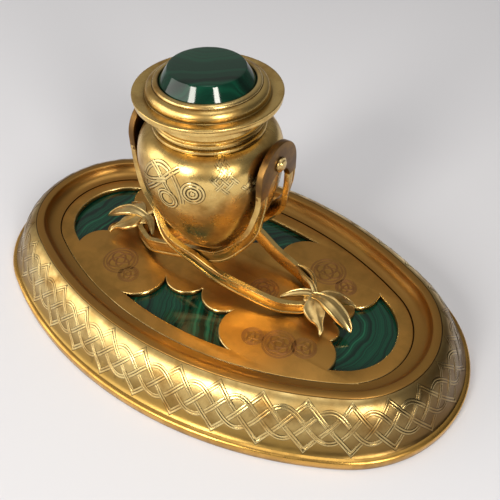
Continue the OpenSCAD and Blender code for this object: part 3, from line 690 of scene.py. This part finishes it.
def weave(paths, reach, lift):
    places = [{} for path in paths]
    for (i, a), (j, b) in crossings(paths):
        places[i][a] = (j, b)
        places[j][b] = (i, a)
    heights = [{} for path in paths]
    for i, path in enumerate(paths):
        spots = sorted(places[i])
        way = 1
        for n, spot in enumerate(spots):  # the first shared crossing agrees with its other strand
            j, b = places[i][spot]
            if b in heights[j] and j != i:
                way = -heights[j][b] * (-1) ** n
                break
        for n, spot in enumerate(spots):
            heights[i][spot] = way * (-1) ** n
    strands = []
    for path, marks in zip(paths, heights):
        points = []
        for k, (x, y) in enumerate(path):
            up = 0
            for spot, way in marks.items():
                away = math.dist(path[k], path[spot])
                if away < reach and min(abs(k - spot), len(path) - abs(k - spot)) < len(path) / 8:
                    up += way * lift * (0.5 + 0.5 * math.cos(math.pi * away / reach))
            points.append((x, y, up))
        strands.append((points, True, 0))
    return strands


def ringPath(x, y, radius, steps=72):
    angles = [2 * math.pi * k / steps for k in range(steps)]
    return [(x + radius * math.cos(angle), y + radius * math.sin(angle)) for angle in angles]


def turned2d(x, y, a, b, turn):  # (a, b) turned about the origin and set at (x, y)
    return (x + a * math.cos(turn) - b * math.sin(turn), y + a * math.sin(turn) + b * math.cos(turn))


def loopsPath(x, y, size, loops, turn=0, steps=144):  # a closed curve with outer loops, as in a knot
    points = []
    for k in range(steps):
        t = 2 * math.pi * k / steps
        a = size * (math.sin(t) + 2 * math.sin((loops - 1) * t)) / 3
        b = size * (math.cos(t) - 2 * math.cos((loops - 1) * t)) / 3
        points.append(turned2d(x, y, a, b, turn))
    return points


def basketStrands(x, y, size, turn, strips=3):  # short strips woven square, as (points, closed, wrap)
    strands = []
    for way in (0, 1):
        for k in range(strips):
            offset = (k - (strips - 1) / 2) * size / strips * 1.1
            points = []
            for n in range(-12, 13):
                run = n / 12 * size / 2 * (1.25 if k % 2 == way else 0.95)
                lift = 0.05 * math.cos(math.pi * run * strips / size / 1.1) * (1 if (k + way) % 2 else -1)
                a, b = (run, offset) if way else (offset, run)
                points.append((*turned2d(x, y, a, b, turn), lift))
            strands.append((points, False, 0))
    return strands


# bands as Bezier points of (along, height), rings and dots as (along, height, radius), and baskets of
# woven strips as (along, height, size, turn)
knot = {
    "bands": {
        "arch": [(-12, 79.5), (-12, 97.5), (7, 98), (6.8, 79)],
        "falling": [(-7.5, 92), (-2, 91), (1, 84), (4.5, 77.5)],
        "rising": [(-10.5, 79), (-4, 84), (0, 90), (5.5, 93.5)],
        "left": [(-12.6, 84.5), (-8, 83), (-4, 87), (0.5, 88)],
    },
    "rings": ((0.3, 79.2, 3.6), (11.3, 84.8, 3.7)), "dots": ((11.3, 84.8, 1.1),),
    "halfBand": 1.3, "relief": 0.16, "levelStep": 0.04, "ringLift": 0.16,
    "baskets": ((23.6, 89.6, 7.5, 0.75), (34.5, 85, 6, 0.75), (23.5, 95, 4, 0.75)), "basketHalfBand": 0.95,
}
knotStrands = []
for level, points in enumerate(knot["bands"].values()):
    knotStrands.append(([(*p, level * knot["levelStep"]) for p in curvePoints(points, 30)], False, 0))
for ring in knot["rings"] + knot["dots"]:
    knotStrands.append(([(*p, knot["ringLift"]) for p in ringPath(*ring)], True, 0))
potKnot = bandMesh("pot_knot", knotStrands, onPot, knot["halfBand"], knot["relief"])
basketParts = [strand for spot in knot["baskets"] for strand in basketStrands(*spot)]
potBaskets = bandMesh("pot_baskets", basketParts, onPot, knot["basketHalfBand"], knot["relief"])
for piece in (potKnot, potBaskets):
    dress(piece, giltEngraved, "base", "gilt_bronze")


def onPlate(x, y, lift):
    return Vector((x, y, fretTop + lift))


roundels = {
    "places": (  # x, y, radius, loops, turn
        (-43, -23.5, 8, 4, 0.3), (-34, -28.5, 4.6, 3, 0.2), (45.5, -24.5, 7, 4, 0.2),
        (55.5, -20.5, 5, 3, 1), (34, -27, 4.4, 3, 2), (43, 24, 8, 4, 0.8), (54.5, 19.5, 4.6, 3, 0),
        (-44, 24, 8, 4, 0.6), (24, -2, 6.5, 4, 0), (-27, 2, 6.5, 4, 0),
    ),
    "rings": (1, 0.82), "knotSize": 0.72, "reach": 1.1, "lift": 0.03, "halfBand": 0.5, "relief": 0.05,
}
plateStrands = []
for x, y, radius, loops, turn in roundels["places"]:
    inner = loopsPath(x, y, radius * roundels["knotSize"], loops, turn)
    plateStrands += weave([inner], roundels["reach"], roundels["lift"])
    for part in roundels["rings"]:
        plateStrands.append(([(*p, -roundels["lift"]) for p in ringPath(x, y, radius * part)], True, 0))
plateKnots = bandMesh("fret_roundels", plateStrands, onPlate, roundels["halfBand"], roundels["relief"])
dress(plateKnots, giltTraced, "base", "gilt_bronze")
print("engraving made")

# neck and rim
neckProfile = [
    (19, 95.2), (19, 97), (21.9, 97), (22.15, 97.1), (22.3, 97.4), (22.3, 98.0), (22.1, 98.4), (21.9, 98.5),
    (20.95, 98.8), (20.9, 99.6), (21.45, 99.85), (21.7, 100.1), (21.7, 100.5), (21.45, 100.8), (21.2, 100.95),
    (21.4, 101.15), (21.6, 101.45), (21.6, 101.8), (21.4, 102.05), (20.9, 102.3)]
neckProfile += curvePoints([(20.7, 103.5), (20.5, 107.4), (22.9, 108.5), (26.9, 108.7)], 12)
neckProfile += [(27.7, 109.0), (28.0, 109.2), (28.1, 109.5), (28.1, 110.4), (28.0, 110.7), (27.7, 110.8),
                (19, 110.8), (19, 108.6), (17.4, 108.6), (17.4, 95.2)]
hinge = {"y": 25.8, "z": 108.6, "knuckle": 1.9, "middle": 5, "gap": 0.25, "outer": 5.5}


def addBox(low, high):
    bpy.ops.mesh.primitive_cube_add(size=1, location=[(a + b) / 2 * mm for a, b in zip(low, high)])
    box = bpy.context.object
    box.scale = [(b - a) * mm for a, b in zip(low, high)]
    bpy.ops.object.transform_apply()
    return box


def bevelEdges(piece, width, segments):  # on the active piece
    bevel = piece.modifiers.new("edge", "BEVEL")
    bevel.width = width * mm
    bevel.segments = segments
    bpy.ops.object.modifier_apply(modifier="edge")


def cutBox(piece, low, high):  # takes a box out of a piece
    cutter = addBox(low, high)
    makeActive(piece)
    modifier = piece.modifiers.new("cut", "BOOLEAN")
    modifier.operation = "DIFFERENCE"
    modifier.solver = "EXACT"
    modifier.object = cutter
    bpy.ops.object.modifier_apply(modifier="cut")
    bpy.data.objects.remove(cutter)


neckRing = spinPiece("neck_ring_turned", neckProfile, pot["x"], pot["steps"])
notch = hinge["middle"] / 2 + hinge["gap"] + hinge["outer"]
for half, depth in ((notch + 0.3, 2.3), (20, 0.6)):  # room for the knuckles, and a flat behind the lid
    cutBox(neckRing, (pot["x"] - half, hinge["y"] - depth, 106), (pot["x"] + half, 32, 112))
bpy.ops.object.shade_smooth_by_angle(angle=math.radians(35))


def makeKnuckle(name, x0, x1, web):  # a knuckle along X with rounded ends, and the web that carries it
    length = (x1 - x0) * mm
    deselectAll()
    bpy.ops.mesh.primitive_cylinder_add(
        vertices=40, radius=hinge["knuckle"] * mm, depth=length, end_fill_type="NGON",
        location=((x0 + x1) / 2 * mm, hinge["y"] * mm, hinge["z"] * mm), rotation=(0, math.pi / 2, 0))
    knuckle = bpy.context.object
    knuckle.name = name
    bpy.ops.object.transform_apply()
    bevelEdges(knuckle, 0.15, 2)
    bevelEdges(addBox(*web), 0.12, 1)
    knuckle.select_set(True)
    bpy.context.view_layer.objects.active = knuckle
    bpy.ops.object.join()
    bpy.ops.object.shade_smooth_by_angle(angle=math.radians(35))
    return knuckle


near = hinge["middle"] / 2 + hinge["gap"]
for side, name in ((-1, "neck_knuckle_left"), (1, "neck_knuckle_right")):
    x0, x1 = sorted((pot["x"] + side * near, pot["x"] + side * notch))
    knuckle = makeKnuckle(name, x0, x1, ((x0, 18.9, 106.9), (x1, 24.9, 109.2)))
    dress(knuckle, giltPolished, "base", "gilt_bronze", "neck_ring")
dress(neckRing, giltPolished, "base", "gilt_bronze", "neck_ring")
print("pot and neck made")

# lid
lidTop = 110.85
seat = lidTop + 3.2
lidProfile = [
    (0, 109.65), (18.4, 109.65), (18.6, 109.8), (18.6, lidTop), (28.1, lidTop), (28.3, 110.95),
    (28.4, 111.15), (28.4, 111.6), (28.3, 111.8), (28.1, 111.93), (27.8, 111.95), (26.6, 111.8),
    (25.4, 111.55), (24.4, 111.42), (23.9, 111.3), (23.6, 111.2), (23.4, 111.35)]
lidProfile += curvePoints([(23.4, 111.65), (23.4, 113.65), (22.2, 115.05), (20.6, 115.05)], 14)
lidProfile += [(20.5, 114.9), (20.5, seat), (0, seat)]
lidPlate = spinPiece("lid_plate_turned", lidProfile, pot["x"], pot["steps"], closed=False)
x0, x1 = pot["x"] - hinge["middle"] / 2, pot["x"] + hinge["middle"] / 2
lidKnuckle = makeKnuckle("lid_knuckle", x0, x1, ((x0, 24.3, 108.6), (x1, 27.3, 111)))
for piece in (lidPlate, lidKnuckle):
    dress(piece, giltPolished, "lid", "gilt_bronze", "lid_plate")
# the bezel and the stone are measured up from the stone's seat
bezelProfile = [(18.0, 0), (20.4, 0), (20.4, 1.3), (20.3, 1.6), (20.0, 1.95), (19.5, 2.2), (18.9, 2.3),
                (18.5, 2.25), (18.1, 1.9), (18.0, 1.6)]
bezel = spinPiece("lid_bezel_turned", [(r, seat + z) for r, z in bezelProfile], pot["x"], pot["steps"])
# painted highlight: the bezel takes the lighter gilt
dress(bezel, giltHighlight, "lid", "gilt_bronze", "lid_bezel")
stoneProfile = [(0, 0), (17.9, 0), (17.9, 1.5), (17.8, 1.75), (17.6, 2.1), (17.45, 2.33), (14.85, 6.23),
                (14.7, 6.45), (14.5, 6.7), (14.2, 6.82)]
stoneProfile += curvePoints([(13.8, 6.9), (10, 7.14), (5, 7.2), (0, 7.2)], 10)
stone = spinPiece("cabochon_cut", [(r, seat + z) for r, z in stoneProfile], pot["x"], pot["steps"], 22, False)
dress(stone, stoneMalachite, "lid", "polished_malachite", "cabochon")
print("lid made")


# strap frame
strap = {
    "thickness": 2.4, "earX": 30.7, "earThickness": 2.7, "earRadius": 12.8, "earTop": 85.7, "earFoot": 80,
    "crotchRadius": 7.9, "crotchTop": 86.6, "stemX": 47.5, "studHeight": 90,
}


def through(rows, u):
    i = min(int(u), len(rows) - 2)
    t = u - i
    a, b, c, d = (Vector(rows[k]) for k in (max(i - 1, 0), i, i + 1, min(i + 2, len(rows) - 1)))
    curve = (2 * a - 5 * b + 4 * c - d) * t * t / 2
    return b + (c - a) * t / 2 + curve + (3 * b - a - 3 * c + d) * t ** 3 / 2


def strapRows(side):  # x, y, z, facing, width: the same guide points as the solid
    out = 0.3 if side > 0 else -2.9  # the left ribbon passes outside the right one
    near = [
        (30.7, -10.35, 82, 0, 4.9, 0), (30.6, -10.4, 77, 3, 5.0, 0), (29.7, -11, 71, 10, 5.4, 0),
        (27.1, -12.3, 61, 30, 5.8, 0), (20.8, -13.6, 52, 50, 6.2, 0.25), (12.4, -15, 43.2, 70, 6.4, 1),
        (0, -14, 36.9, 90, 6.8, 1), (-12, -13.5, 32.3, 92, 7, 1), (-24, -12.8, 27.8, 92, 7.2, 0.35)]
    rows = [(pot["x"] + side * r[0], r[1] + out * r[5], r[2], r[3], r[4]) for r in near]
    stem = strap["stemX"]
    return rows + [(-side * (stem - 12.5), -11, 24.6, 100, 7), (-side * (stem - 4.5), -6.8, 23.4, 114, 6.4),
                   (-side * (stem - 1.4), -4.5, 23.6, 128, 6)]


def frames(rows, steps, facing=None):  # along a path: row, across, outwards
    for k in range((len(rows) - 1) * steps + 1):
        u = k / steps
        row = through(rows, u)
        ahead = through(rows, min(u + 0.05, len(rows) - 1))
        behind = through(rows, max(u - 0.05, 0))
        along = (Vector(ahead[:3]) - Vector(behind[:3])).normalized()
        if facing:
            angle = math.radians(row[3])
            face = Vector((facing * math.cos(angle), -math.sin(angle), 0))
            out = (face - along * face.dot(along)).normalized()
            across = along.cross(out)
        else:
            across = along.cross(Vector((0, 0, 1))).normalized()
            out = across.cross(along)
        yield row, across, out


def loftPiece(name, rings, turned=False):
    width = len(rings[0])
    points = [p for ring in rings for p in ring]
    if turned:
        points = [(x, -y, z) for x, y, z in points]
    faces = [tuple(reversed(range(width)))]
    for k in range(len(rings) - 1):
        for i in range(width):
            a, b = k * width + i, k * width + (i + 1) % width
            faces.append((a, b, b + width, a + width))
    faces.append(tuple((len(rings) - 1) * width + i for i in range(width)))
    piece = newPiece(name, points, (), faces)
    finishMesh(piece, 40, 0.001)
    return piece


# across the outer face: a raised edge, a groove, a flat middle, a groove, a raised edge
strapShape = mirrored([(0.95, -1.08), (1, -1), (1, 0.9), (0.96, 1.02), (0.8, 1.08), (0.68, 1.0), (0.62, 0.72),
                       (0.52, 0.72), (0.44, 0.86), (0.3, 0.92)])
strapCrest = max(o for _, o in strapShape)

# the ear, drawn flat as (y, z) and stood up at the pot's side
top, radius, foot, bite = (strap[key] for key in ("earTop", "earRadius", "earFoot", "crotchRadius"))
crotchZ = strap["crotchTop"] - bite
crotch = arcBetween((0, crotchZ, bite), (-bite, crotchZ), (bite, crotchZ), -1, 0.6)
halfGap = math.sqrt(bite ** 2 - (foot - crotchZ) ** 2)
earLoop = arcBetween((0, top, radius), (radius, top), (-radius, top), 1, 0.6)
earLoop += [(-radius, foot), (-halfGap, foot)] + [p for p in crotch if p[1] > foot]
earLoop += [(halfGap, foot), (radius, foot)]
# the stud, measured out from the ear's face: a low square-shouldered head with a domed top
studProfile = [(0, -5.95), (1.5, -5.95), (1.5, 0), (2.9, 0), (3.0, 0.1), (3.0, 0.8), (2.9, 1.0), (2.5, 1.15),
               (2.2, 1.25), (1.9, 1.75), (1.2, 1.95), (0, 2.0)]
for side, word in ((1, "right"), (-1, "left")):
    rings = []
    for row, across, out in frames(strapRows(side), 10, side):
        here = Vector(row[:3])
        half = strap["thickness"] / 2 / strapCrest
        rings.append([here + across * a * row[4] / 2 + out * o * half for a, o in strapShape])
    for turned, place in ((False, "front"), (True, "back")):
        piece = loftPiece(f"strap_{word}_{place}", [[tuple(p) for p in ring] for ring in rings], turned)
        dress(piece, giltPolished, "base", "gilt_bronze", "strap_" + word)

    ear = flatPiece("ear_" + word, [earLoop], 0, strap["earThickness"], 0.3)
    for vertex in ear.data.vertices:
        flatX, flatY, flatZ = vertex.co
        x = (pot["x"] + side * strap["earX"]) * mm + side * (flatZ - strap["earThickness"] / 2 * mm)
        vertex.co = (x, flatX, flatY)
    finishMesh(ear, 30, 0.01)
    # the ear's dark gilt is painted shade
    dress(ear, giltEar, "base", "gilt_bronze", "strap_" + word)

    face = strap["earX"] + strap["earThickness"] / 2
    stud = spinPiece("stud_" + word + "_head", [(r, face + x) for r, x in studProfile], 0, 48, closed=False)
    for vertex in stud.data.vertices:
        x, y, z = vertex.co
        vertex.co = (pot["x"] * mm + side * z, y, strap["studHeight"] * mm + side * -x)
    finishMesh(stud, 35)
    # painted highlight: the stud takes the lighter gilt
    dress(stud, giltHighlight, "base", "gilt_bronze", "stud_" + word)
print("straps made")

# leaves: a boss over the stem, a centre lobe, two side lobes, two tendrils and a curl at the back
leafTop = fretTop + 8
stemX = strap["stemX"]
leafRows = {  # x from the stem, y, height from the leaf's top, half width, thickness
    "centre": [
        (-1.5, 0.4, -0.6, 1.8, 2.4), (3.5, 0.6, 0.4, 2.6, 2.8), (8.8, -0.4, 0.5, 3.8, 2.8),
        (14.6, -1.7, -2, 3.7, 2.6), (18.6, -2.9, -4.6, 2.2, 2), (20.8, -3.8, -6.6, 0.3, 1.2)],
    "front lobe": [
        (2.2, 1.5, -0.9, 2.6, 2.4), (2.6, -1.6, -0.2, 3.7, 2.5), (3.7, -4.9, -0.8, 5.2, 2.4),
        (6.3, -7.8, -2, 3.9, 2.2), (8.7, -9.7, -3.2, 1.7, 1.9), (10.4, -11.4, -4.2, 1.1, 1.6),
        (11, -13.4, -5.4, 0.3, 1.2)],
    "back lobe": [
        (2, 0, -1, 2.4, 2.6), (5.6, 3.6, -0.5, 3.6, 2.6), (9.6, 6.4, -1.6, 3.3, 2.4),
        (13, 8.4, -3.8, 1.9, 2), (16.4, 9.4, -5.4, 0.4, 1.2)],
    "front tendril": [
        (1.5, 1.6, -1.2, 1.8, 2), (-3.2, 0.2, 0.1, 2.1, 2.2), (-7.6, -3.2, 0.3, 1.7, 2),
        (-11.8, -7.6, -0.4, 0.4, 1.4)],
    "back tendril": [
        (0.5, 1.6, -1.2, 1.5, 2), (-3.4, 4.8, 0.9, 1.3, 2.2), (-8.4, 6.7, 1.6, 1.1, 2),
        (-14.2, 10.4, 2, 0.4, 1.4)],
    "back curl": [
        (-1, 3.4, -0.8, 1.1, 1.8), (-4.4, 8.4, 0.9, 1.1, 2), (-8.6, 10.8, 1.6, 1.0, 1.8),
        (-14, 11, 2, 0.4, 1.4)],
}
# across a lobe: a raised rim, a sunk field and a vein down the middle
leafShape = mirrored([(0.5, -0.4), (0.85, -0.22), (1, 0), (0.97, 0.25), (0.88, 0.42), (0.76, 0.4),
                      (0.68, 0.31), (0.3, 0.36), (0.12, 0.42)], [(0, 0.46)])
bossProfile = [(1.44, -8), (3.1, -8), (3.1, -2), (4.3, -1.1), (4.4, -0.6), (4.0, 0), (2.8, 0.5), (0, 0.6),
               (0, -2), (1.44, -2)]
for way, word in ((1, "right"), (-1, "left")):
    parts = []
    for lobe in leafRows.values():
        rows = [(stemX + x, y, leafTop + z, width, depth) for x, y, z, width, depth in lobe]
        rings = []
        for row, across, out in frames(rows, 10):
            here = Vector(row[:3])
            rings.append([tuple(here + across * a * row[3] + out * o * row[4]) for a, o in leafShape])
        parts.append(loftPiece("leaf_part", rings))
    stem = spinPiece("leaf_part", [(r, leafTop + z) for r, z in bossProfile], stemX, 40)
    parts.append(stem)
    deselectAll()
    for part in parts:
        part.select_set(True)
    bpy.context.view_layer.objects.active = stem
    bpy.ops.object.join()
    leaf = bpy.context.object
    leaf.name = "leaf_" + word + "_cast"
    if way < 0:
        for vertex in leaf.data.vertices:
            vertex.co.x *= -1
        leaf.data.flip_normals()
    dress(leaf, giltLeaf, "base", "gilt_bronze", "leaf_" + word)
print("leaves made")

# floor, light and camera
backdrop = {
    "floor": "#DCDDE4", "size": 4.0,
    "room": ((0.0, (0.09, 0.086, 0.08, 1)), (0.9, (0.34, 0.325, 0.30, 1))),
}
deselectAll()
bpy.ops.mesh.primitive_plane_add(size=backdrop["size"], location=(0, 0, 0))
floor = bpy.context.object
floor.name = "floor"
floorMaterial, tree = newMaterial("pale matt backdrop")
diffuse = addNode(tree, "BsdfDiffuse", {}, {"Color": linearColour(backdrop["floor"])})
addNode(tree, "OutputMaterial", {}, {"Surface": diffuse.outputs[0]})
floor.data.materials.append(floorMaterial)

world = bpy.data.worlds.new("studio")
scene.world = world
world.use_nodes = True
tree = world.node_tree
tree.nodes.clear()
direction = addNode(tree, "VectorMath", {"operation": "DOT_PRODUCT"}, {
    0: addNode(tree, "TexCoord").outputs["Generated"], 1: (-0.6, 0.2, 0.75)}).outputs["Value"]
room = addNode(tree, "ValToRGB", {}, {"Fac": direction})
for element, (position, colour) in zip(room.color_ramp.elements, backdrop["room"]):
    element.position = position
    element.color = colour
glow = addNode(tree, "Background", {}, {"Color": room.outputs["Color"], "Strength": 1.0})
addNode(tree, "OutputWorld", {}, {"Surface": glow.outputs[0]})

lamps = {  # name: place, target, size, strength in watts, colour
    "left wall": ((-1.0, -1.0, 0.6), (0, 0, 0.05), (1.6, 1.1), 12, "#FFFBF4"),
    "window front": ((-0.1, -1.19, 0.66), (0, 0, 0.1), (0.3, 0.6), 11, "#FFFAF0"),
    "window right": ((1.0, -0.61, 0.67), (0, 0, 0.1), (0.24, 0.6), 11, "#FFFAF0"),
    "above": ((0.1, 0.0, 1.6), (0, 0, 0), (1.0, 1.0), 4, "#FFFFFF"),
}
for name, (place, target, size, watts, code) in lamps.items():
    data = bpy.data.lights.new(name, "AREA")
    data.shape = "RECTANGLE"
    data.size, data.size_y = size
    data.energy = watts
    data.color = linearColour(code)[:3]
    lamp = addObject(name, data)
    lamp.location = place
    lamp.rotation_euler = (Vector(target) - Vector(place)).to_track_quat("-Z", "Y").to_euler()

view = {
    "azimuth": 33.25, "elevation": 44.55, "distance": 311.09, "right": 12.53, "up": 21.1,
    "focal": 632.5, "image": 500, "sensor": 36,
}
azimuth, elevation = math.radians(view["azimuth"]), math.radians(view["elevation"])
right = Vector((math.cos(azimuth), math.sin(azimuth), 0))
level = Vector((math.sin(azimuth), -math.cos(azimuth), 0))
back = level * math.cos(elevation) + Vector((0, 0, math.sin(elevation)))
up = right.cross(-back)
cameraData = bpy.data.cameras.new("camera")
cameraData.sensor_width = view["sensor"]
cameraData.lens = view["focal"] / view["image"] * view["sensor"]
cameraData.clip_start = 0.01
camera = addObject("camera", cameraData)
camera.location = (back * view["distance"] + right * view["right"] + up * view["up"]) * mm
camera.rotation_euler = (-back).to_track_quat("-Z", "Y").to_euler()
scene.camera = camera
scene.view_settings.view_transform = "Standard"
